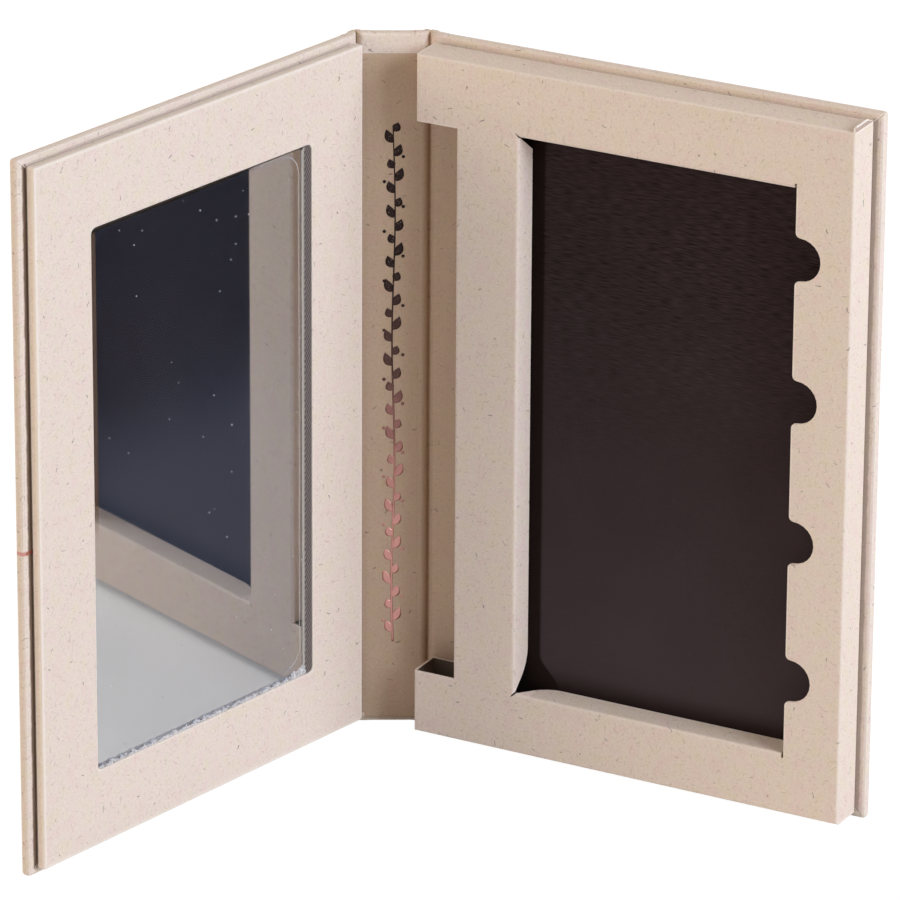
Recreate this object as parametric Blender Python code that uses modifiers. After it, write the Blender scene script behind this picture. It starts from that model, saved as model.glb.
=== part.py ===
"""Empty refillable makeup palette, a small hard-cover book of plant-fibre paper over board.

It stands open on its bottom edges. The back cover lies along X and carries the pan tray, the spine
and the front cover turn forward from it about two upright hinge creases, and the front cover carries
the mirror. Each cover is modelled in its own frame at its hinge crease: u runs from the crease to the
free edge, w from the outer skin to the inside, and z upwards. The origin is the middle of the back
cover's bottom edge.
"""
import math

import bmesh
import bpy
from mathutils import Matrix, Vector

# Covers, in metres
cover_height = 0.150
cover_width = 0.101
board_thickness = 0.0012
wrap_paper = 0.0002
seat_gap = 0.0003
edge_radius = 0.0007
turn_in = 0.0042
cover_thickness = board_thickness + 2 * (wrap_paper + seat_gap)

# Mirror frame
frame_board_thickness = 0.0010
panel_lift = 0.0004
panel_free_margin = 0.0020
panel_end_margin = 0.0016
mirror_border_hinge = 0.0157
mirror_border_free = 0.0161
mirror_border_top = 0.0168
mirror_border_bottom = 0.0160
window_corner_radius = 0.0012
frame_turn_in = 0.0040
frame_edge_radius = 0.0004
panel_thickness = frame_board_thickness + 2 * (wrap_paper + seat_gap)

# Mirror, its glue sheet and its film
mirror_thickness = 0.0008
glue_thickness = 0.0002
film_thickness = 0.0001
film_inset = 0.0004

# Tray
tray_depth = 0.0085
tray_card = 0.00045
fold_inner_radius = 0.00020
tray_free_margin = 0.0020
tray_end_margin = 0.0016
slot_width = 0.0091
slot_tab_top = 0.0141
slot_tab_bottom = 0.0135
bridge_width = 0.0141
window_border_free = 0.0124
window_border_top = 0.0137
window_border_bottom = 0.0131
flange_width = 0.0060

# Window flaps and thumb notches
sheet_depth = 0.0055
flap_relief = 0.00025
corner_slit = 0.0003
end_slit_width = 0.0005
end_slit_depth = 0.0004
flap_lean = 0.0004
flap_taper = 0.0050
flap_top_taper = 0.0036
flap_end_rounding = 0.0030
notch_pitch = 0.0298
notch_first = 0.01605
notch_radius = 0.0045
notch_fillet = 0.0010

# Sheet and floor under the window
sheet_thickness = 0.0008
sheet_overlap = 0.0022
sheet_past_notches = 0.0020

# Closure discs
closure_radius = 0.0040
closure_plate_thickness = 0.0005
closure_inset = 0.0070

# Hinges
hinge_clearance = 0.0002
hinge_slit = 0.0003
spine_groove = 0.00175
closing_clearance = 0.0002
hinge_setback = cover_thickness + hinge_clearance
hinge_spacing = (2 * cover_thickness + panel_lift + panel_thickness + tray_depth
                 + closing_clearance)
back_bend = math.radians(29.4)
front_bend = math.radians(49.2)

# Arc steps of round outlines
corner_steps = 4
fillet_steps = 3
notch_steps = 12
disc_steps = 32
fold_steps = 4
edge_segments = 2
edge_angle = math.radians(35)

# Levels measured from the outer skin of a cover
board_back = wrap_paper + seat_gap
board_front = board_back + board_thickness
panel_back = cover_thickness + panel_lift
panel_face = panel_back + panel_thickness
tray_face = cover_thickness + tray_depth
tray_foot = cover_thickness + seat_gap
tray_fold = tray_card + fold_inner_radius
sheet_face = tray_face - sheet_depth
sheet_back = sheet_face - sheet_thickness

# Extents of the panel and the tray along u and z
panel_u = (hinge_setback, cover_width - panel_free_margin)
panel_z = (panel_end_margin, cover_height - panel_end_margin)
mirror_window_u = (panel_u[0] + mirror_border_hinge, panel_u[1] - mirror_border_free)
mirror_window_z = (panel_z[0] + mirror_border_bottom, panel_z[1] - mirror_border_top)
tray_u = (hinge_setback, cover_width - tray_free_margin)
tray_z = (tray_end_margin, cover_height - tray_end_margin)
slot_u = tray_u[0] + slot_width
slot_z = (tray_z[0] + slot_tab_bottom, tray_z[1] - slot_tab_top)
window_u = (slot_u + bridge_width, tray_u[1] - window_border_free)
window_z = (tray_z[0] + window_border_bottom, tray_z[1] - window_border_top)
notch_reach = notch_radius + notch_fillet
notch_count = 1 + int((window_z[1] - window_z[0] - notch_first - notch_reach) / notch_pitch)

BACK = 1
FRONT = -1


def clear_scene():
    """Remove every object of the scene."""
    for old in list(bpy.data.objects):
        bpy.data.objects.remove(old, do_unlink=True)


def make_collection(name):
    """A collection under the scene's own."""
    group = bpy.data.collections.new(name)
    bpy.context.scene.collection.children.link(group)
    return group


def make_material(name, colour, roughness, metallic=0.0):
    """A plain Principled material."""
    made = bpy.data.materials.new(name)
    made.use_nodes = True
    shader = made.node_tree.nodes["Principled BSDF"]
    shader.inputs["Base Color"].default_value = (*colour, 1.0)
    shader.inputs["Roughness"].default_value = roughness
    shader.inputs["Metallic"].default_value = metallic
    made.diffuse_color = (*colour, 1.0)
    return made


def make_frame(name, parent, place, turn):
    """An empty on a hinge crease, turned about it."""
    frame = bpy.data.objects.new(name, None)
    palette.objects.link(frame)
    frame.parent = parent
    frame.location = place
    frame.rotation_euler = (0.0, 0.0, turn)
    return frame


def add_part(name, mesh, frame, finish):
    """Give a mesh its object, its frame and its material."""
    mesh.name = name
    mesh.materials.clear()
    mesh.materials.append(finish)
    part = bpy.data.objects.new(name, mesh)
    palette.objects.link(part)
    part.parent = frame
    return part


def mesh_of(bm, name):
    """Turn a finished bmesh into a mesh."""
    mesh = bpy.data.meshes.new(name)
    bm.to_mesh(mesh)
    bm.free()
    return mesh


def slab(name, frame, side, u, w, z, finish):
    """A board or sheet between two values of u, of w and of z."""
    bm = bmesh.new()
    size = Matrix.Diagonal((u[1] - u[0], w[1] - w[0], z[1] - z[0], 1.0))
    middle = Vector((side * (u[0] + u[1]) / 2, -(w[0] + w[1]) / 2, (z[0] + z[1]) / 2))
    bmesh.ops.create_cube(bm, size=1.0, matrix=Matrix.Translation(middle) @ size)
    return add_part(name, mesh_of(bm, name), frame, finish)


def disc(name, frame, side, u, w, z, finish):
    """A flat disc across the cover, centred on u and z."""
    bm = bmesh.new()
    middle = Vector((side * u, -(w[0] + w[1]) / 2, z))
    stand = Matrix.Rotation(math.radians(90), 4, "X")
    bmesh.ops.create_cone(bm, cap_ends=True, segments=disc_steps, radius1=closure_radius,
                          radius2=closure_radius, depth=w[1] - w[0],
                          matrix=Matrix.Translation(middle) @ stand)
    return add_part(name, mesh_of(bm, name), frame, finish)


def arc(centre, radius, start, end, steps):
    """Points along an arc, angles in degrees from +u towards +z."""
    angles = [math.radians(start + (end - start) * i / steps) for i in range(steps + 1)]
    return [(centre[0] + radius * math.cos(a), centre[1] + radius * math.sin(a)) for a in angles]


def rectangle(u, z):
    """The four corners of a rectangle."""
    return [(u[0], z[0]), (u[1], z[0]), (u[1], z[1]), (u[0], z[1])]


def rounded_rectangle(u, z, radius):
    """A rectangle with a quarter circle at each corner."""
    points = arc((u[1] - radius, z[0] + radius), radius, -90, 0, corner_steps)
    points += arc((u[1] - radius, z[1] - radius), radius, 0, 90, corner_steps)
    points += arc((u[0] + radius, z[1] - radius), radius, 90, 180, corner_steps)
    points += arc((u[0] + radius, z[0] + radius), radius, 180, 270, corner_steps)
    return points


def filled_outlines(side, outlines, level, half_thickness):
    """Outlines drawn as a filled 2D curve at one level of w, made a bmesh and welded."""
    curve = bpy.data.curves.new("outline", "CURVE")
    curve.dimensions = "2D"
    curve.fill_mode = "BOTH"
    curve.extrude = half_thickness
    for outline in outlines:
        spline = curve.splines.new("POLY")
        spline.points.add(len(outline) - 1)
        for point, (u, z) in zip(spline.points, outline):
            point.co = (side * u, z, 0.0, 1.0)
        spline.use_cyclic_u = True
    drawn = bpy.data.objects.new("outline", curve)
    palette.objects.link(drawn)
    drawn.location = (0.0, -level, 0.0)
    drawn.rotation_euler = (math.radians(90), 0.0, 0.0)
    bpy.context.view_layer.update()
    mesh = bpy.data.meshes.new_from_object(drawn.evaluated_get(bpy.context.evaluated_depsgraph_get()))
    mesh.transform(drawn.matrix_world)
    bpy.data.objects.remove(drawn, do_unlink=True)
    bm = bmesh.new()
    bm.from_mesh(mesh)
    bpy.data.meshes.remove(mesh)
    bmesh.ops.remove_doubles(bm, verts=bm.verts, dist=weld_distance)
    bmesh.ops.recalc_face_normals(bm, faces=bm.faces)
    return bm


def plate(name, frame, side, outlines, w, finish):
    """A flat plate with holes."""
    bm = filled_outlines(side, outlines, (w[0] + w[1]) / 2, (w[1] - w[0]) / 2)
    return add_part(name, mesh_of(bm, name), frame, finish)


def flat_sheet(side, outlines, w):
    """An open flat sheet at one level, in as few faces as its holes allow, ready to be folded."""
    bm = filled_outlines(side, outlines, w, 0.0)
    inner_edges = [edge for edge in bm.edges if not edge.is_boundary]
    bmesh.ops.dissolve_limit(bm, angle_limit=math.pi, verts=[], edges=inner_edges)
    return bm


def fold_edges(bm, edges, move):
    """Fold a strip from the given edges: each new point is moved by move(point)."""
    made = bmesh.ops.extrude_edge_only(bm, edges=edges)["geom"]
    for point in [item for item in made if isinstance(item, bmesh.types.BMVert)]:
        point.co += move(point.co)
    return [item for item in made if isinstance(item, bmesh.types.BMEdge)]


def bend(radius, centre, start):
    """A quarter turn of a fold, in steps outwards and backwards, from an angle in degrees."""
    turns = [math.radians(start + 90 * i / fold_steps) for i in range(fold_steps + 1)]
    return [(centre[0] + radius * math.sin(a), centre[1] - radius * math.cos(a)) for a in turns]


def fold_along(bm, edges, profile, outwards):
    """Fold strips from the given edges along a profile of places outwards and backwards."""
    for (out, back), (next_out, next_back) in zip(profile, profile[1:]):
        def step(point, out=next_out - out, back=next_back - back):
            return outwards(point) * out + Vector((0.0, back, 0.0))

        edges = fold_edges(bm, edges, step)
    return edges


def finish_sheet(name, bm, frame, paper, radius, finish):
    """Face the sheet outwards, round its sharp edges and give it its thickness towards the inside."""
    bmesh.ops.recalc_face_normals(bm, faces=bm.faces)
    front = min(bm.faces, key=lambda face: (face.calc_center_median().y, -face.calc_area()))
    if front.normal.y > 0:
        bmesh.ops.reverse_faces(bm, faces=bm.faces)
    sheet = add_part(name, mesh_of(bm, name), frame, finish)
    if radius:
        rounded = sheet.modifiers.new("edges", "BEVEL")
        rounded.limit_method = "ANGLE"
        rounded.angle_limit = edge_angle
        rounded.width = radius
        rounded.segments = edge_segments
    walls = sheet.modifiers.new("paper", "SOLIDIFY")
    walls.thickness = paper
    walls.offset = -1.0
    walls.use_even_offset = True
    return sheet


def cut_across(bm, axis, place):
    """Cut all faces along a plane square to an axis."""
    where = Vector((0.0, 0.0, 0.0))
    where[axis] = place
    normal = Vector((0.0, 0.0, 0.0))
    normal[axis] = 1.0
    geometry = bm.verts[:] + bm.edges[:] + bm.faces[:]
    bmesh.ops.bisect_plane(bm, geom=geometry, dist=weld_distance, plane_co=where, plane_no=normal)


def drop_faces(bm, doomed):
    """Delete the faces whose middle passes a test."""
    faces = [face for face in bm.faces if doomed(face.calc_center_median())]
    bmesh.ops.delete(bm, geom=faces, context="FACES")


def cover_wrap(name, frame, side):
    """Outer paper of a cover: skin, turned edges and turn-ins, open towards the hinge and inside."""
    bm = bmesh.new()
    length = cover_width - hinge_slit
    size = Matrix.Diagonal((length, cover_thickness, cover_height, 1.0))
    middle = Vector((side * (hinge_slit + length / 2), -cover_thickness / 2, cover_height / 2))
    bmesh.ops.create_cube(bm, size=1.0, matrix=Matrix.Translation(middle) @ size)
    cut_across(bm, 0, side * hinge_setback)
    cut_across(bm, 0, side * (cover_width - turn_in))
    cut_across(bm, 2, turn_in)
    cut_across(bm, 2, cover_height - turn_in)

    def is_open(point):
        u = side * point.x
        w = -point.y
        at_hinge = u < hinge_setback and w > weld_distance
        in_opening = (w > cover_thickness - weld_distance and u < cover_width - turn_in
                      and turn_in < point.z < cover_height - turn_in)
        return at_hinge or in_opening

    drop_faces(bm, is_open)
    return finish_sheet(name, bm, frame, wrap_paper, edge_radius, finishes["paper"])


def spine_paper(frame):
    """Outer paper of the spine, turned in at the top and bottom."""
    bm = bmesh.new()
    length = hinge_spacing - 2 * hinge_slit
    size = Matrix.Diagonal((length, cover_thickness, cover_height, 1.0))
    middle = Vector((-hinge_spacing / 2, -cover_thickness / 2, cover_height / 2))
    bmesh.ops.create_cube(bm, size=1.0, matrix=Matrix.Translation(middle) @ size)
    half = hinge_spacing / 2 - spine_groove
    cut_across(bm, 0, middle.x - half)
    cut_across(bm, 0, middle.x + half)
    cut_across(bm, 2, turn_in)
    cut_across(bm, 2, cover_height - turn_in)

    def is_open(point):
        w = -point.y
        beside = abs(point.x - middle.x) > half and w > weld_distance
        in_opening = w > cover_thickness - weld_distance and turn_in < point.z < cover_height - turn_in
        return beside or in_opening

    drop_faces(bm, is_open)
    return finish_sheet("spine_wrap", bm, frame, wrap_paper, edge_radius, finishes["paper"])


def cover_boards(name, frame, side):
    """The grey board inside a cover, and the liner paper on its inside."""
    inset = wrap_paper + seat_gap
    slab(name + "_board", frame, side, (hinge_setback, cover_width - inset), (board_back, board_front),
         (inset, cover_height - inset), finishes["grey_board"])
    lined = turn_in + seat_gap
    slab(name.replace("_cover", "") + "_pastedown", frame, side, (hinge_setback, cover_width - lined),
         (cover_thickness - wrap_paper, cover_thickness), (lined, cover_height - lined),
         finishes["liner_paper"])


def spine_pieces(frame):
    """Board, liner and outer paper of the spine."""
    inset = wrap_paper + seat_gap
    sides = (spine_groove, hinge_spacing - spine_groove)
    slab("spine_board", frame, FRONT, sides, (board_back, board_front), (inset, cover_height - inset),
         finishes["grey_board"])
    lined = turn_in + seat_gap
    slab("spine_liner", frame, FRONT, sides, (cover_thickness - wrap_paper, cover_thickness),
         (lined, cover_height - lined), finishes["liner_paper"])
    spine_paper(frame)


def closure_places():
    """The middles of the two closure discs along u and z, at the top and at the bottom."""
    u = tray_u[1] - closure_inset
    return {"top": (u, tray_z[1] - closure_inset), "bottom": (u, tray_z[0] + closure_inset)}


def mirror_frame(frame):
    """The board with the mirror window and its paper."""
    inset = wrap_paper + seat_gap
    board_u = (panel_u[0] + inset, panel_u[1] - inset)
    board_z = (panel_z[0] + inset, panel_z[1] - inset)
    hole_u = (mirror_window_u[0] - inset, mirror_window_u[1] + inset)
    hole_z = (mirror_window_z[0] - inset, mirror_window_z[1] + inset)
    outlines = [rectangle(board_u, board_z),
                rounded_rectangle(hole_u, hole_z, window_corner_radius + inset)]
    for place in closure_places().values():
        outlines.append(arc(place, closure_radius + seat_gap, 0, 360, disc_steps)[:-1])
    board_level = (panel_back + inset, panel_face - inset)
    plate("mirror_frame_board", frame, FRONT, outlines, board_level, finishes["grey_board"])
    for name, (u, z) in closure_places().items():
        disc("closure_magnet_" + name, frame, FRONT, u, board_level, z, finishes["magnet"])
    frame_paper(frame)


def frame_paper(frame):
    """Paper of the mirror frame: face, outer edges, back turn-ins and the sides of the window."""
    bm = flat_sheet(FRONT, [rectangle(panel_u, panel_z),
                            rounded_rectangle(mirror_window_u, mirror_window_z, window_corner_radius)],
                    panel_face)
    middle = Vector((-(panel_u[0] + panel_u[1]) / 2, 0.0, (panel_z[0] + panel_z[1]) / 2))

    def on_rim(edge):
        u = [-end.co.x for end in edge.verts]
        z = [end.co.z for end in edge.verts]
        return (max(u) < panel_u[0] + weld_distance or min(u) > panel_u[1] - weld_distance
                or max(z) < panel_z[0] + weld_distance or min(z) > panel_z[1] - weld_distance)

    rim = [edge for edge in bm.edges if edge.is_boundary and on_rim(edge)]
    hole = [edge for edge in bm.edges if edge.is_boundary and not on_rim(edge)]

    def backwards(point):
        return Vector((0.0, panel_thickness, 0.0))

    def inwards(point):
        return Vector((math.copysign(frame_turn_in, middle.x - point.x), 0.0,
                       math.copysign(frame_turn_in, middle.z - point.z)))

    back_rim = fold_edges(bm, rim, backwards)
    fold_edges(bm, back_rim, inwards)
    fold_edges(bm, hole, backwards)
    finish_sheet("mirror_frame_wrap", bm, frame, wrap_paper, frame_edge_radius, finishes["paper"])


def mirror_pieces(frame):
    """Glue sheet, mirror and film, from the cover outwards, in the mirror window."""
    inset = wrap_paper + seat_gap
    u = (mirror_window_u[0] + inset, mirror_window_u[1] - inset)
    z = (mirror_window_z[0] + inset, mirror_window_z[1] - inset)
    glue_back = cover_thickness + seat_gap
    mirror_back = glue_back + glue_thickness + seat_gap
    film_back = mirror_back + mirror_thickness + seat_gap
    slab("mirror_adhesive_sheet", frame, FRONT, u, (glue_back, glue_back + glue_thickness), z,
         finishes["glue"])
    plate("mirror", frame, FRONT, [rounded_rectangle(u, z, window_corner_radius)],
          (mirror_back, mirror_back + mirror_thickness), finishes["mirror"])
    film_u = (u[0] + film_inset, u[1] - film_inset)
    film_z = (z[0] + film_inset, z[1] - film_inset)
    plate("mirror_film", frame, FRONT, [rounded_rectangle(film_u, film_z, window_corner_radius)],
          (film_back, film_back + film_thickness), finishes["film"])


def notch_outline(z):
    """One thumb notch, from below to above: a fillet, a half circle and a fillet."""
    entry = window_u[1] + notch_fillet
    points = arc((entry, z - notch_reach), notch_fillet, 180, 90, fillet_steps)[:-1]
    points += arc((entry, z), notch_radius, -90, 90, notch_steps)[:-1]
    points += arc((entry, z + notch_reach), notch_fillet, 270, 180, fillet_steps)
    return points


def tray_window_outline():
    """The window up to its folds, with a slit out of each corner and the notches on its free side."""
    u0, u1 = window_u[0] - tray_fold, window_u[1]
    z0, z1 = window_z[0] - tray_fold, window_z[1] + tray_fold
    flap_end = u1 - end_slit_width
    points = [(u0 - corner_slit, z0 - corner_slit), (u0 + flap_relief, z0), (flap_end, z0),
              (flap_end, z0 - end_slit_depth), (u1, z0 - end_slit_depth)]
    for i in range(notch_count):
        points += notch_outline(window_z[0] + notch_first + i * notch_pitch)
    points += [(u1, z1 + end_slit_depth), (flap_end, z1 + end_slit_depth), (flap_end, z1),
               (u0 + flap_relief, z1), (u0 - corner_slit, z1 + corner_slit), (u0, z1 - flap_relief),
               (u0, z0 + flap_relief)]
    return points


def tray_rim_outline():
    """The tray's face up to its folds, with the brush slot cut into its hinge side."""
    u0, u1 = tray_u[0] + tray_fold, tray_u[1] - tray_fold
    z0, z1 = tray_z[0] + tray_fold, tray_z[1] - tray_fold
    slot = slot_u + tray_fold
    return [(u0, z0), (u1, z0), (u1, z1), (u0, z1), (u0, slot_z[1]), (slot, slot_z[1]),
            (slot, slot_z[0]), (u0, slot_z[0])]


def tray_shell(frame):
    """One folded card: face, outer walls, slot wall, glue flanges and the three window flaps."""
    bm = flat_sheet(BACK, [tray_rim_outline(), tray_window_outline()], tray_face)
    walls_u = (tray_u[0] + tray_fold, tray_u[1] - tray_fold)
    walls_z = (tray_z[0] + tray_fold, tray_z[1] - tray_fold)
    flaps_z = (window_z[0] - tray_fold, window_z[1] + tray_fold)

    def near(a, b):
        return abs(a - b) < weld_distance

    def along(axis, place):
        return [edge for edge in bm.edges if edge.is_boundary
                and all(near(end.co[axis], place) for end in edge.verts)]

    def outer(point):
        u = (point.x > walls_u[1] - weld_distance) - (point.x < walls_u[0] + weld_distance)
        z = (point.z > walls_z[1] - weld_distance) - (point.z < walls_z[0] + weld_distance)
        return Vector((u, 0.0, z))

    def to_hinge(point):
        return Vector((-1.0, 0.0, 0.0))

    def to_middle(point):
        return math.copysign(1.0, (flaps_z[0] + flaps_z[1]) / 2 - point.z)

    def at_hinge_end(point):
        return point.x < (window_u[0] + window_u[1]) / 2

    def into_window(point):
        return Vector((1.0, 0.0, to_middle(point)))

    def from_ends(point):
        return Vector((float(at_hinge_end(point)), 0.0, to_middle(point)))

    height = tray_face - tray_foot
    wall = bend(tray_fold, (0.0, tray_fold), 0)
    wall += bend(tray_fold, (0.0, height - tray_fold), 90) + [(tray_fold - flange_width, height)]
    rim = along(0, walls_u[0]) + along(0, walls_u[1]) + along(2, walls_z[0]) + along(2, walls_z[1])
    slot = along(0, slot_u + tray_fold)
    hinge_fold = along(0, window_u[0] - tray_fold)
    end_folds = along(2, flaps_z[0]) + along(2, flaps_z[1])
    fold_along(bm, rim, wall, outer)
    fold_along(bm, slot, wall, to_hinge)

    turn = bend(tray_fold, (0.0, tray_fold), 0)
    reach = Vector((0.0, sheet_depth - seat_gap - tray_fold, 0.0))

    def hinge_flap(point):
        taper = flap_taper if to_middle(point) > 0 else flap_top_taper
        return reach + Vector((flap_lean, 0.0, to_middle(point) * taper))

    def end_flap(point):
        taper = flap_taper if at_hinge_end(point) else 0.0
        return reach + Vector((taper, 0.0, to_middle(point) * flap_lean))

    side_edges = fold_edges(bm, fold_along(bm, hinge_fold, turn, into_window), hinge_flap)
    end_edges = fold_edges(bm, fold_along(bm, end_folds, turn, from_ends), end_flap)
    rounded = {end for edge in side_edges for end in edge.verts if to_middle(end.co) > 0}
    rounded |= {end for edge in end_edges for end in edge.verts if at_hinge_end(end.co)}
    bmesh.ops.bevel(bm, geom=list(rounded), offset=flap_end_rounding, segments=corner_steps,
                    profile=0.5, affect="VERTICES")
    finish_sheet("tray_shell", bm, frame, tray_card, 0.0, finishes["card"])


def tray_inside(frame):
    """Magnetic sheet, floor board and the steel discs under the tray's face."""
    sheet_free_edge = window_u[1] + notch_reach + sheet_past_notches
    sheet_u = (window_u[0] - sheet_overlap, sheet_free_edge)
    sheet_z = (window_z[0] - sheet_overlap, window_z[1] + sheet_overlap)
    slab("magnetic_sheet", frame, BACK, sheet_u, (sheet_back, sheet_face), sheet_z, finishes["sheet"])
    clear = tray_card + flange_width + seat_gap
    floor_u = (slot_u + clear, tray_u[1] - clear)
    floor_z = (tray_z[0] + clear, tray_z[1] - clear)
    slab("tray_floor_board", frame, BACK, floor_u, (tray_foot, sheet_back - seat_gap), floor_z,
         finishes["grey_board"])
    plate_face = tray_face - tray_card - seat_gap
    for name, (u, z) in closure_places().items():
        disc("closure_plate_" + name, frame, BACK, u, (plate_face - closure_plate_thickness, plate_face), z,
             finishes["steel"])


weld_distance = seat_gap / 100

clear_scene()
palette = make_collection("makeup_palette")
finishes = {
    "paper": make_material("speckled_paper", (0.78, 0.68, 0.58), 0.85),
    "liner_paper": make_material("speckled_liner", (0.74, 0.64, 0.53), 0.85),
    "card": make_material("speckled_card", (0.76, 0.65, 0.55), 0.85),
    "grey_board": make_material("grey_board", (0.42, 0.40, 0.37), 0.95),
    "mirror": make_material("mirror_plate", (0.85, 0.87, 0.88), 0.03, 1.0),
    "film": make_material("clear_film", (0.90, 0.92, 0.93), 0.15),
    "glue": make_material("glue_sheet", (0.80, 0.78, 0.70), 0.60),
    "sheet": make_material("black_magnetic_sheet", (0.028, 0.022, 0.020), 0.40),
    "magnet": make_material("magnet_nickel", (0.62, 0.61, 0.58), 0.25, 1.0),
    "steel": make_material("plated_steel", (0.60, 0.60, 0.60), 0.30, 1.0),
}

back_frame = make_frame("back_cover_frame", None, (-cover_width / 2, cover_thickness / 2, 0.0), 0.0)
spine_frame = make_frame("spine_hinge", back_frame, (0.0, 0.0, 0.0), back_bend)
front_frame = make_frame("front_hinge", spine_frame, (-hinge_spacing, 0.0, 0.0), front_bend)

cover_boards("back_cover", back_frame, BACK)
cover_wrap("back_cover_wrap", back_frame, BACK)
tray_shell(back_frame)
tray_inside(back_frame)

spine_pieces(spine_frame)

cover_boards("front_cover", front_frame, FRONT)
cover_wrap("front_cover_wrap", front_frame, FRONT)
mirror_frame(front_frame)
mirror_pieces(front_frame)
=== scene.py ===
"""An empty refillable makeup palette: a small hard-cover book of plant-fibre paper over board.

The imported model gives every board, paper and the folded tray. This script finishes them with
procedural fibre papers, and adds the creased paper of the two hinges, the liner of the spine with
its foil sprig, the film on the mirror, the lip at the tray's corner and the foil line round the
front cover.

Each leaf of the book has coordinates of its own, measured from its hinge crease: u towards its
free edge, w from its outer skin to its inside, and z upwards.
"""
import math

import bpy
import numpy as np
from mathutils import Matrix


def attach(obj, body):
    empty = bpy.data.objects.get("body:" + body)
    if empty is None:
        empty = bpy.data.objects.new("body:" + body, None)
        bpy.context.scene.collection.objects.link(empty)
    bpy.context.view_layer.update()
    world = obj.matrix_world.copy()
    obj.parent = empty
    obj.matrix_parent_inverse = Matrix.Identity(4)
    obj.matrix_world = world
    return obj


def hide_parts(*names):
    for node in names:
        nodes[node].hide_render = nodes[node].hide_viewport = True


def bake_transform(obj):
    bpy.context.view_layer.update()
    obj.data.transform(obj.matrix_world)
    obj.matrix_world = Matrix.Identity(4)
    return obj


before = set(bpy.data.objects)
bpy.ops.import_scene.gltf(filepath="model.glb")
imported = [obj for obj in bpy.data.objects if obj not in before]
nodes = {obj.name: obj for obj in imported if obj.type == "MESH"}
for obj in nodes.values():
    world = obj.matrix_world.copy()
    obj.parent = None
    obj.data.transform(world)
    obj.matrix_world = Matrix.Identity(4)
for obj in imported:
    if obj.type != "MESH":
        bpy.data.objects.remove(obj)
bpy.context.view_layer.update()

MM = 0.001

# The book's sizes, in metres
COVER_HEIGHT = 0.150
COVER_WIDTH = 0.101
COVER_THICKNESS = 0.0022
TURN_IN = 0.0042
HINGE_SETBACK = 0.0024
SPINE_WIDTH = 0.0155
SPINE_SETBACK = 0.00175
# The mirror's frame and the tray have one outline, on their leaves
PANEL_U, PANEL_Z = (0.0024, 0.0990), (0.0016, 0.1484)
FRAME_W = (0.0026, 0.0046)
MIRROR_WINDOW_U, MIRROR_WINDOW_Z = (0.0181, 0.0829), (0.0176, 0.1316)
TRAY_W = (0.0025, 0.0107)
SLOT_U, SLOT_Z = 0.0115, (0.0151, 0.1343)
PAN_WINDOW_U, PAN_WINDOW_Z = (0.0256, 0.0866), (0.0147, 0.1347)
LINER_FOOT, LINER_HEAD = 0.0007, 0.14585

# The film's torn foot repeats along a slant of u and z
TEAR_SLANT, TEAR_PITCH = 1.2, 3.1

COVER_TONE = (0.800, 0.706, 0.650, 1)
LINER_TONE = (0.600, 0.465, 0.360, 1)
CARD_TONE = (0.800, 0.700, 0.635, 1)
PALE_TONE = (0.90, 0.83, 0.77, 1)
POCKET_SHADE_TONE = (0.10, 0.062, 0.042, 1)


def turned(angle):
    """The 2 by 2 matrix of a turn about the upright axis."""
    return np.array([[math.cos(angle), -math.sin(angle)], [math.sin(angle), math.cos(angle)]])


# Each leaf: its crease in plan, its turn and the side on which it lies of its crease
SPINE_TURN, FRONT_TURN = math.radians(29.4), math.radians(78.6)
BACK_CREASE = np.array([-COVER_WIDTH / 2, COVER_THICKNESS / 2])
FRONT_CREASE = BACK_CREASE + turned(SPINE_TURN) @ np.array([-SPINE_WIDTH, 0.0])
LEAVES = {
    "back_cover": (BACK_CREASE, 0.0, 1.0),
    "spine": (BACK_CREASE, SPINE_TURN, -1.0),
    "front_cover": (FRONT_CREASE, FRONT_TURN, -1.0),
}


def leaf_points(leaf, u, w, z):
    """World places of u, w and z on a leaf, as an array that ends in three coordinates."""
    crease, turn, side = LEAVES[leaf]
    u, w, z = np.broadcast_arrays(*(np.asarray(part, float) for part in (u, w, z)))
    plan = np.stack([side * u, -w], axis=-1) @ turned(turn).T + crease
    return np.concatenate([plan, z[..., None]], axis=-1)


# ---- Meshes ----


def grid_quads(rows, columns, closed=False):
    """Corner numbers of the quads of a grid of rows by columns, each row closed where asked."""
    i = np.arange(rows - 1)[:, None]
    j = np.arange(columns if closed else columns - 1)[None, :]
    i2, j2 = i + 1, (j + 1) % columns
    corners = [i * columns + j, i2 * columns + j, i2 * columns + j2, i * columns + j2]
    return np.stack(np.broadcast_arrays(*corners), axis=-1).reshape(-1, 4)


def end_faces(rows, columns):
    """The first and the last row of a grid, each as one face."""
    return list(range(columns)), list(range((rows - 1) * columns, rows * columns))


def faced_inward(leaf, points, quads):
    """The quads, each turned round where its normal points away from the leaf's inside."""
    way = np.append(turned(LEAVES[leaf][1]) @ np.array([0.0, -1.0]), 0.0)
    corners = np.asarray(points).reshape(-1, 3)[quads]
    normals = np.cross(corners[:, 2] - corners[:, 0], corners[:, 3] - corners[:, 1])
    return np.where((normals @ way < 0.0)[:, None], quads[:, ::-1], quads)


def make_piece(name, points, quads, materials, body=None, extra=()):
    """A smooth object of computed points and quads, on a body of the frame where one is named."""
    mesh = bpy.data.meshes.new(name)
    faces = np.asarray(quads).tolist() + [list(face) for face in extra]
    mesh.from_pydata(np.asarray(points, float).reshape(-1, 3).tolist(), [], faces)
    mesh.update()
    for material in materials:
        mesh.materials.append(material)
    mesh.shade_smooth()
    piece = bpy.data.objects.new(name, mesh)
    bpy.context.scene.collection.objects.link(piece)
    if body:
        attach(piece, body)
    return piece


def thicken(piece, name, thickness, offset):
    """Give a sheet its thickness: behind its face with an offset of -1, to both sides with 0."""
    walls = piece.modifiers.new(name, "SOLIDIFY")
    walls.thickness, walls.offset = thickness, offset


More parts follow.
